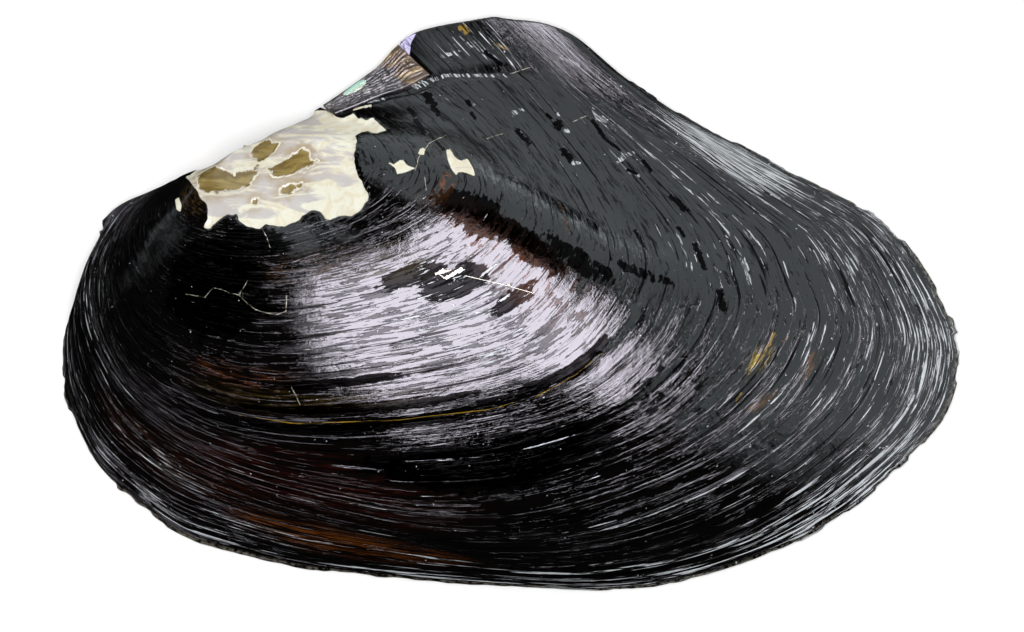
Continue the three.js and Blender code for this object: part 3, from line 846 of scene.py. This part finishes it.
def band(tree, value, middle, reach):  # one on the middle, none past the reach
    return ramp(tree, compute(tree, "ABSOLUTE", less(tree, value, middle)), reach, reach * 0.4)


def growthPlace(tree):  # x runs along a growth line, y outwards from the beak
    node = tree.nodes.new("ShaderNodeUVMap")
    node.uv_map = "growth"
    return node.outputs[0]


def splitPlace(tree, place):  # the way round and the growth
    node = tree.nodes.new("ShaderNodeSeparateXYZ")
    plug(tree, node.inputs[0], place)
    return node.outputs[0], node.outputs[1]


def framePlace(tree):
    return tree.nodes.new("ShaderNodeTexCoord").outputs["Object"]


def startMaterial(name):
    material = bpy.data.materials.new(name)
    material.use_nodes = True
    tree = material.node_tree
    return material, tree, tree.nodes["Principled BSDF"]


def bump(tree, height, distance):
    node = tree.nodes.new("ShaderNodeBump")
    node.inputs["Distance"].default_value = distance
    plug(tree, node.inputs["Height"], height)
    return node.outputs[0]


def startGroup(name, inputs, outputs):
    group = bpy.data.node_groups.new(name, "ShaderNodeTree")
    for socket, kind in inputs.items():
        group.interface.new_socket(socket, in_out="INPUT", socket_type="NodeSocket" + kind)
    for socket in outputs:
        group.interface.new_socket(socket, in_out="OUTPUT", socket_type="NodeSocketFloat")
    return group, group.nodes.new("NodeGroupInput").outputs, group.nodes.new("NodeGroupOutput").inputs


def makeStreakGroup():  # lines that follow the growth of the shell
    inputs = {"Place": "Vector", "Along": "Float", "Across": "Float", "Low": "Float", "High": "Float"}
    group, start, end = startGroup("growthStreaks", inputs, ("Mask", "Field"))
    around, growth = splitPlace(group, start["Place"])
    joined = group.nodes.new("ShaderNodeCombineXYZ")
    plug(group, joined.inputs[0], times(group, around, start["Along"]))
    plug(group, joined.inputs[1], times(group, growth, start["Across"]))
    field = speckle(group, joined.outputs[0], 1.0, 5.0, 0.62, 0.35)
    plug(group, end["Mask"], ramp(group, field, start["Low"], start["High"]))
    plug(group, end["Field"], field)
    return group


def streaks(tree, place, along, across, low=0.5, high=0.6):
    node = tree.nodes.new("ShaderNodeGroup")
    node.node_tree = streakGroup
    for name, given in zip(("Place", "Along", "Across", "Low", "High"), (place, along, across, low, high)):
        plug(tree, node.inputs[name], given)
    return node.outputs


streakGroup = makeStreakGroup()


def makeMarkGroup():  # one along a mark, from its offset, the way past its end and its nearness
    group, start, end = startGroup("lineMark", {"Line": "Color", "Shake": "Float"}, ("Mask",))
    split = group.nodes.new("ShaderNodeSeparateColor")
    plug(group, split.inputs[0], start["Line"])
    offset = compute(group, "ABSOLUTE", plus(group, split.outputs[0], start["Shake"]))
    across = ramp(group, offset, 1.2, 0.8)
    along = ramp(group, less(group, split.outputs[1], start["Shake"]), 0.3, -0.3)
    near = ramp(group, split.outputs[2], 0.3, 0.5)
    plug(group, end["Mask"], times(group, times(group, across, along), near))
    return group


def markMask(tree, kind, unrest, reach):
    node = tree.nodes.new("ShaderNodeGroup")
    node.node_tree = markGroup
    plug(tree, node.inputs["Line"], readColour(tree, kind))
    plug(tree, node.inputs["Shake"], times(tree, less(tree, unrest, 0.5), reach))
    return node.outputs[0]


markGroup = makeMarkGroup()


skinLooks = {
    "dark": (0.0014, 0.0011, 0.001, 1),
    # near-black of the painted shade and of the scuffs, set as full metal so it reflects nothing
    "shadeAndScuffBlack": (0.0004, 0.0003, 0.0003, 1),
    # colour of the silvery layers and of the painted glints
    "silverAndGlint": (0.45, 0.48, 0.5, 1),
    "amber": (0.1, 0.035, 0.004, 1),
    "golden": (0.24, 0.145, 0.014, 1),
    "brokenEdge": (0.11, 0.1, 0.08, 1),
    "pearl": ((0.33, 0.45, 0.62, 1), (0.55, 0.5, 0.75, 1)),
    "roughness": {"skin": 0.035, "scuffed": 0.13, "silverAndGlint": 0.3, "bare": 0.26},
    # shine taken away: painted shade in the ridge gaps and matt places, and the scuffs
    "shineLost": {"ridgeShade": 0.85, "scuffed": 0.62, "mattAndShade": 0.92},
    "pitDepth": 0.3,
}


def makeSkin():  # dark glossy skin, worn through to the chalky shell at the beak
    material, tree, surface = startMaterial("valveSkin")
    place, spot = growthPlace(tree), framePlace(tree)
    # silvery layers with painted glints, dull skin, matt skin with painted shade
    wearGlintAndShade = tree.nodes.new("ShaderNodeSeparateColor")
    plug(tree, wearGlintAndShade.inputs[0], readColour(tree, "wearGlintAndShade"))
    silverAndGlintHere, dullHere, mattAndShadeHere = wearGlintAndShade.outputs
    fine = streaks(tree, place, 16.0, 300.0)
    ridges = streaks(tree, place, 6.0, 95.0, 0.56, 0.59)
    patches = streaks(tree, place, 26.0, 44.0)
    broken = streaks(tree, place, 40.0, 170.0)
    # painted shade: thin black lines between the growth ridges, where the shine is taken away
    ridgeShade = streaks(tree, place, 9.0, 150.0, 0.585, 0.61)
    grain = speckle(tree, spot, 900.0, 2.0, 0.6)
    wrinkle = speckle(tree, spot, 260.0, 3.0, 0.55, 0.8)
    growth = splitPlace(tree, place)[1]
    cloud = speckle(tree, spot, 90.0, 3.0, 0.5)
    marks = {kind: markMask(tree, kind, grain, 2.5) for kind in valveLooks["marks"]}
    shadedPit = marks["shadedPit"]

    # thin silvery layers, more of them where the skin lifts, and painted glints along the ridges
    silverAndGlintField = plus(tree, times(tree, fine["Field"], 0.55), times(tree, broken["Field"], 0.45))
    silverAndGlintLimit = less(tree, 0.64, times(tree, silverAndGlintHere, 0.1))
    silverAndGlint = ramp(tree, silverAndGlintField, silverAndGlintLimit, plus(tree, silverAndGlintLimit, 0.02))
    flecks = ramp(tree, plus(tree, grain, times(tree, silverAndGlintHere, 0.04)), 0.75, 0.77)
    rings = streaks(tree, place, 3.0, 62.0, 0.6, 0.625)
    dashed = ramp(tree, plus(tree, broken["Field"], times(tree, silverAndGlintHere, 0.06)), 0.53, 0.57)
    dashed = times(tree, dashed, ramp(tree, growth, 0.5, 0.72))
    silverAndGlint = most(tree, silverAndGlint, times(tree, rings["Mask"], dashed))
    bits = times(tree, marks["silverAndGlint"], ramp(tree, broken["Field"], 0.49, 0.56))
    silverAndGlint = most(tree, most(tree, silverAndGlint, flecks), bits)
    silverAndGlint = times(tree, silverAndGlint, less(tree, 1.0, shadedPit))

    # bare shell: the worn beak, chips and cracks
    worn = ramp(tree, readMask(tree, "worn"), -0.12, 0.12)
    chip = ramp(tree, readMask(tree, "chipped"), -0.1, 0.1)
    crack = markMask(tree, "crack", wrinkle, 9.0)
    cracked = times(tree, crack, ramp(tree, grain, 0.35, 0.6, 0.1, 0.6))
    bare = most(tree, most(tree, worn, chip), most(tree, cracked, marks["cream"]))

    # dull scuffs, matt skin and painted shade in the gaps between ridges and in the pits break the shine
    # along the growth lines
    scuffField = plus(tree, times(tree, patches["Field"], 0.3), times(tree, broken["Field"], 0.7))
    scuff = ramp(tree, plus(tree, scuffField, times(tree, dullHere, 0.08)), 0.56, 0.575)
    mattAndShadeField = plus(tree, times(tree, scuffField, 0.7), times(tree, wrinkle, 0.3))
    # matt skin, partly painted shade: black bands that reflect nothing
    mattAndShade = ramp(tree, plus(tree, mattAndShadeField, times(tree, mattAndShadeHere, 0.3)), 0.64, 0.66)
    # painted shade inside the pits
    mattAndShade = most(tree, mattAndShade, shadedPit)
    lost = skinLooks["shineLost"]
    shine = less(tree, 1.0, times(tree, ridgeShade["Mask"], lost["ridgeShade"]))
    shine = times(tree, shine, less(tree, 1.0, times(tree, scuff, lost["scuffed"])))
    shine = times(tree, shine, less(tree, 1.0, times(tree, mattAndShade, lost["mattAndShade"])))
    shine = most(tree, most(tree, shine, silverAndGlint), bare)
    # painted shade: where the shine is lost the skin turns to black metal that reflects nothing, and the
    # scuffs darken the same way
    shadeAndScuffShare = less(tree, 1.0, shine, clamp=True)  # black and metallic gives no reflection

    streaky = ramp(tree, broken["Field"], 0.46, 0.62)
    stained = blendColour(tree, streaky, skinLooks["dark"], readColour(tree, "stain"))
    stained = blendColour(tree, times(tree, marks["amber"], streaky), stained, skinLooks["amber"])
    golden = times(tree, marks["yellow"], ramp(tree, broken["Field"], 0.42, 0.52))
    stained = blendColour(tree, golden, stained, skinLooks["golden"])
    edge = times(tree, ramp(tree, growth, 0.99, 0.998), ramp(tree, grain, 0.42, 0.56))
    stained = blendColour(tree, edge, stained, skinLooks["brokenEdge"])
    skin = blendColour(tree, silverAndGlint, stained, skinLooks["silverAndGlint"])

    torn = ramp(tree, readMask(tree, "pearl"), -0.1, 0.1)
    pearl = blendColour(tree, ramp(tree, cloud, 0.4, 0.6), *skinLooks["pearl"])
    shadeAndScuffBlack = blendColour(tree, 0.08, skinLooks["shadeAndScuffBlack"], readColour(tree, "stain"))
    skin = blendColour(tree, shadeAndScuffShare, skin, shadeAndScuffBlack)
    colour = blendColour(tree, torn, blendColour(tree, bare, skin, chalkColour(tree, spot)), pearl)
    plug(tree, surface.inputs["Base Color"], colour)

    roughness = skinLooks["roughness"]
    rough = plus(tree, roughness["skin"], times(tree, scuff, roughness["scuffed"]))
    rough = plus(tree, rough, times(tree, silverAndGlint, roughness["silverAndGlint"]))
    plug(tree, surface.inputs["Roughness"], blendNumber(tree, bare, rough, roughness["bare"]))
    plug(tree, surface.inputs["Metallic"], shadeAndScuffShare)

    height = times(tree, shadedPit, -skinLooks["pitDepth"])
    reliefs = (
        (ridges["Mask"], 0.03), (fine["Field"], 0.035), (patches["Field"], 0.09), (broken["Field"], 0.03),
        (wrinkle, 0.06), (grain, 0.012), (silverAndGlint, 0.03), (scuff, 0.02),
    )
    for field, amount in reliefs:
        height = plus(tree, height, times(tree, field, amount))
    hollow = ramp(tree, readMask(tree, "pool"), -0.4, 0.3, 0.0, -0.3)
    soft = plus(tree, times(tree, wrinkle, 0.22), hollow)
    plug(tree, surface.inputs["Normal"], bump(tree, blendNumber(tree, worn, height, soft), 0.001))
    return material


chalkLooks = {
    "cream": ((0.7, 0.69, 0.58, 1), (0.65, 0.6, 0.45, 1)),
    "lilac": (0.42, 0.39, 0.41, 1),
    "tan": (0.36, 0.27, 0.14, 1),
    "poolRim": (0.74, 0.71, 0.6, 1),
    "pool": ((0.13, 0.085, 0.018, 1), (0.27, 0.2, 0.06, 1)),
}


def chalkColour(tree, spot):  # bare shell: cream, with clear brown pools and lilac clouds
    cloud = speckle(tree, spot, 240.0, 4.0, 0.62, 1.2)
    lying = stretch(tree, spot, (70, 260, 60), turn=(0, 0, -0.5))
    swirl = speckle(tree, lying, 1.0, 4.0, 0.55, 1.6)
    growth = splitPlace(tree, growthPlace(tree))[1]
    hingeward = ramp(tree, growth, 0.2, 0.1, -0.35, 0.5)
    lilac = ramp(tree, plus(tree, swirl, times(tree, hingeward, 0.25)), 0.5, 0.64)
    cream = blendColour(tree, ramp(tree, cloud, 0.4, 0.6), *chalkLooks["cream"])
    cream = blendColour(tree, times(tree, lilac, 0.75), cream, chalkLooks["lilac"])
    depth = plus(tree, readMask(tree, "pool"), times(tree, less(tree, cloud, 0.5), 3.2))
    tanned = times(tree, ramp(tree, depth, -3.5, -0.2), ramp(tree, swirl, 0.4, 0.62, 0.1, 0.8))
    cream = blendColour(tree, tanned, cream, chalkLooks["tan"])
    rim = times(tree, band(tree, depth, -0.25, 0.35), ramp(tree, swirl, 0.42, 0.58))
    rimmed = blendColour(tree, rim, cream, chalkLooks["poolRim"])
    brown = blendColour(tree, ramp(tree, swirl, 0.35, 0.62), *chalkLooks["pool"])
    return blendColour(tree, ramp(tree, depth, -0.1, 0.3), rimmed, brown)


def oval(tree, place, middleX, middleY, halfX, halfY):  # one inside an oval on the growth map
    moved = stretch(tree, place, (1 / halfX, 1 / halfY, 0), (-middleX / halfX, -middleY / halfY, 0))
    reach = tree.nodes.new("ShaderNodeVectorMath")
    reach.operation = "LENGTH"
    plug(tree, reach.inputs[0], moved)
    return ramp(tree, reach.outputs["Value"], 1.04, 0.9)


nacreLooks = {
    "pearl": ((0.62, 0.6, 0.66, 1), (0.74, 0.66, 0.6, 1)),
    "rays": (0.5, 0.6, 0.62, 1),
    "scar": (0.42, 0.4, 0.42, 1),
    "mantleLine": (0.4, 0.38, 0.38, 1),
    "border": (0.06, 0.04, 0.025, 1),
    "scars": ((0.1, 0.66, 0.07, 0.11), (0.74, 0.7, 0.045, 0.1)),  # middle and half sizes on the growth map
    "roughness": 0.2,
    "filmThickness": 420,
    "filmIor": 1.55,
}


def makeNacre():  # pearly lining with the marks of the two shell muscles and the mantle line
    material, tree, surface = startMaterial("nacre")
    place, spot = growthPlace(tree), framePlace(tree)
    cloud = speckle(tree, spot, 38.0, 3.0, 0.5, 0.5)
    rays = streaks(tree, place, 90.0, 6.0, 0.42, 0.6)
    around, growth = splitPlace(tree, place)
    pearl = blendColour(tree, ramp(tree, cloud, 0.35, 0.65), *nacreLooks["pearl"])
    pearl = blendColour(tree, times(tree, rays["Mask"], 0.25), pearl, nacreLooks["rays"])
    scars = most(tree, *(oval(tree, place, *scar) for scar in nacreLooks["scars"]))
    pearl = blendColour(tree, times(tree, scars, 0.5), pearl, nacreLooks["scar"])
    line = times(tree, band(tree, growth, 0.86, 0.012), band(tree, around, 0.42, 0.7))
    pearl = blendColour(tree, times(tree, line, 0.6), pearl, nacreLooks["mantleLine"])
    border = ramp(tree, plus(tree, growth, times(tree, cloud, 0.03)), 0.985, 1.0)
    plug(tree, surface.inputs["Base Color"], blendColour(tree, border, pearl, nacreLooks["border"]))
    surface.inputs["Roughness"].default_value = nacreLooks["roughness"]
    surface.inputs["Thin Film Thickness"].default_value = nacreLooks["filmThickness"]
    surface.inputs["Thin Film IOR"].default_value = nacreLooks["filmIor"]
    relief = less(tree, times(tree, cloud, 0.3), times(tree, scars, 0.25))
    plug(tree, surface.inputs["Normal"], bump(tree, relief, 0.001))
    return material


rimLooks = {
    "layers": ((0.012, 0.007, 0.004, 1), (0.16, 0.13, 0.1, 1)),
    "layerScale": (60, 60, 1400),
    "roughness": 0.5,
}


def makeRim():  # broken edge of horny skin and shell layers
    material, tree, surface = startMaterial("rimLayers")
    spot = framePlace(tree)
    layer = speckle(tree, stretch(tree, spot, rimLooks["layerScale"]), 1.0, 4.0, 0.6)
    colour = blendColour(tree, ramp(tree, layer, 0.4, 0.65), *rimLooks["layers"])
    plug(tree, surface.inputs["Base Color"], colour)
    surface.inputs["Roughness"].default_value = rimLooks["roughness"]
    return material


hornLooks = {
    "dark": ((0.012, 0.011, 0.011, 1), (0.1, 0.09, 0.085, 1)),
    "pale": (0.3, 0.28, 0.27, 1),
    "golden": ((0.055, 0.028, 0.006, 1), (0.24, 0.16, 0.05, 1)),
    "flake": ((0.5, 0.55, 0.4, 1), (0.25, 0.5, 0.42, 1)),
    "flakePlace": (0.76, 0.33, 0.22, 0.13),
    "roughness": 0.34,
}


def makeHorn():  # dried fibres of the ligament, golden at its rear end, with a pearly flake
    material, tree, surface = startMaterial("ligamentHorn")
    place, spot = growthPlace(tree), framePlace(tree)
    fibre = streaks(tree, place, 7.0, 3.5, 0.5, 0.62)
    torn = speckle(tree, spot, 420.0, 4.0, 0.6, 0.6)
    across, along = splitPlace(tree, place)
    dark = blendColour(tree, fibre["Mask"], *hornLooks["dark"])
    pale = ramp(tree, torn, 0.56, 0.62)
    dark = blendColour(tree, times(tree, pale, 0.6), dark, hornLooks["pale"])
    gold = blendColour(tree, fibre["Mask"], *hornLooks["golden"])
    rearward = plus(tree, along, times(tree, torn, 0.3))
    colour = blendColour(tree, ramp(tree, rearward, 0.86, 0.95), dark, gold)
    edge = plus(tree, oval(tree, place, *hornLooks["flakePlace"]), times(tree, torn, 0.4))
    shimmer = ramp(tree, plus(tree, across, times(tree, torn, 0.3)), 0.6, 1.1)
    flake = blendColour(tree, shimmer, *hornLooks["flake"])
    pearly = ramp(tree, edge, 0.95, 1.05)
    plug(tree, surface.inputs["Base Color"], blendColour(tree, pearly, colour, flake))
    surface.inputs["Roughness"].default_value = hornLooks["roughness"]
    plug(tree, surface.inputs["Normal"], bump(tree, fibre["Field"], 0.0006))
    return material


# Where the shell lies in the frame: the outline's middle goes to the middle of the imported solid
valveLow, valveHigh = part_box("left_valve")
edgePoints = [smoothPoint(stationAt(i / 10), 1) for i in range(181)]
edgePoints += [smoothPoint(stationAt(lastStation), i / 100) for i in range(1, 101)]
outlineLow = Vector([min(point[i] for point in edgePoints) for i in range(2)])
outlineHigh = Vector([max(point[i] for point in edgePoints) for i in range(2)])
middle = (valveLow + valveHigh).xy / 2 - (outlineLow + outlineHigh) / 2 * millimetre
toFrame = Matrix.Translation((middle.x, middle.y, 0)) @ Matrix.Scale(millimetre, 4)

print("making the valve")
skin, nacre, rim, horn = makeSkin(), makeNacre(), makeRim(), makeHorn()
valve = makeValve([skin, nacre, rim])
print("making the hinge plate")
plate = makePlate([nacre], valve)
print("making the ligament")
ligament = makeLigament([horn])
pieces = (valve, "left_valve", "shell"), (plate, "left_valve", "shell"), (ligament, "ligament", "ligament")
for piece, node, slot in pieces:
    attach(piece, "root")
    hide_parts(node)

studio = {
    "floorSize": 12,
    "floorPale": (0.86, 0.86, 0.86, 1),
    "floorInShine": (0.004, 0.004, 0.004, 1),
    "roomLight": 0.55,
    "roomInShine": 0.01,
    # Panels: middle, size, place that they face, radiance
    "leftWindow": ((-0.075, -0.15, 1.2), (0.45, 1.34), (-0.075, -0.15, 0), 20),
    "rightWindow": ((0.42, -0.15, 1.2), (0.54, 1.06), (0.42, -0.15, 0), 20),
    "rightPanel": ((1.2, 0, 0.83), (2.4, 1.66), (0, 0, 0.83), 1.45),
    "backPanel": ((0.325, 1.2, 0.85), (1.75, 1.7), (0.325, 0, 0.85), 1.45),
    "backBoard": ((0.3, 0.64, 0.004), (1.8, 1.12), (0.3, 0.64, 1), 1.25),
    "fill": ((-0.3, 0.4, 2), (3, 3), (0, 0, 0), 1.9),
    "underLight": ((1, 0.7, -0.8), (1.2, 1.2), (0, 0, 0), 6),
    "windowTint": (0.93, 0.88, 1),
    "panelTint": (0.86, 0.95, 1),
    "cameraLens": 300,
    "cameraSensor": 36,
    "frameWidth": 265.4,
    "frameMiddle": (0.00026, -0.00324, 0),
}


def addPanel(name, tint=(1, 1, 1), glossOnly=False, softOnly=False):
    centre, size, aim, radiance = studio[name]
    light = bpy.data.lights.new(name, "AREA")
    light.shape = "RECTANGLE"
    light.size, light.size_y = size
    light.energy = radiance * math.pi * size[0] * size[1]
    light.color = tint
    made = bpy.data.objects.new(name, light)
    made.location = centre
    made.rotation_euler = (Vector(aim) - Vector(centre)).to_track_quat("-Z", "Y").to_euler()
    made.visible_camera = False
    made.visible_diffuse = not glossOnly
    made.visible_glossy = not softOnly
    bpy.context.scene.collection.objects.link(made)


def makeStudio():
    for name in ("leftWindow", "rightWindow"):
        addPanel(name, studio["windowTint"], glossOnly=True)
    for name in ("rightPanel", "backPanel", "backBoard"):
        addPanel(name, studio["panelTint"], glossOnly=True)
    addPanel("fill", softOnly=True)
    addPanel("underLight")


def makeFloor():
    mesh = bmesh.new()
    bmesh.ops.create_grid(mesh, x_segments=1, y_segments=1, size=studio["floorSize"] / 2)
    floorMaterial, tree, surface = startMaterial("paleFloor")
    surface.inputs["Roughness"].default_value = 0.9
    surface.inputs["Specular IOR Level"].default_value = 0
    clear = tree.nodes.new("ShaderNodeBsdfTransparent")
    join = tree.nodes.new("ShaderNodeMixShader")
    shadow = tree.nodes.new("ShaderNodeLightPath").outputs["Is Shadow Ray"]
    behind = tree.nodes.new("ShaderNodeNewGeometry").outputs["Backfacing"]
    plug(tree, join.inputs[0], most(tree, shadow, behind))
    plug(tree, join.inputs[1], surface.outputs[0])
    plug(tree, join.inputs[2], clear.outputs[0])
    plug(tree, tree.nodes["Material Output"].inputs["Surface"], join.outputs[0])
    gloss = tree.nodes.new("ShaderNodeLightPath").outputs["Is Glossy Ray"]
    pale, dark = studio["floorPale"], studio["floorInShine"]
    plug(tree, surface.inputs["Base Color"], blendColour(tree, gloss, pale, dark))
    floor = makeObject(mesh, "floor", [floorMaterial])


def makeWorld():
    world = bpy.data.worlds.new("room")
    world.use_nodes = True
    bpy.context.scene.world = world
    tree = world.node_tree
    background = tree.nodes["Background"]
    background.inputs["Color"].default_value = (1, 1, 1, 1)
    gloss = tree.nodes.new("ShaderNodeLightPath").outputs["Is Glossy Ray"]
    strength = ramp(tree, gloss, 0, 1, studio["roomLight"], studio["roomInShine"])
    plug(tree, background.inputs["Strength"], strength)


def makeCamera():
    camera = bpy.data.cameras.new("camera")
    camera.lens = studio["cameraLens"]
    camera.sensor_width = studio["cameraSensor"]
    made = bpy.data.objects.new("camera", camera)
    distance = studio["frameWidth"] * millimetre * camera.lens / camera.sensor_width
    made.location = Vector(studio["frameMiddle"]) + Vector((0, 0, distance))
    camera.clip_end = 50
    bpy.context.scene.collection.objects.link(made)
    bpy.context.scene.camera = made


print("making the studio")
makeStudio()
makeFloor()
makeWorld()
makeCamera()
bpy.context.scene.view_settings.view_transform = "Standard"
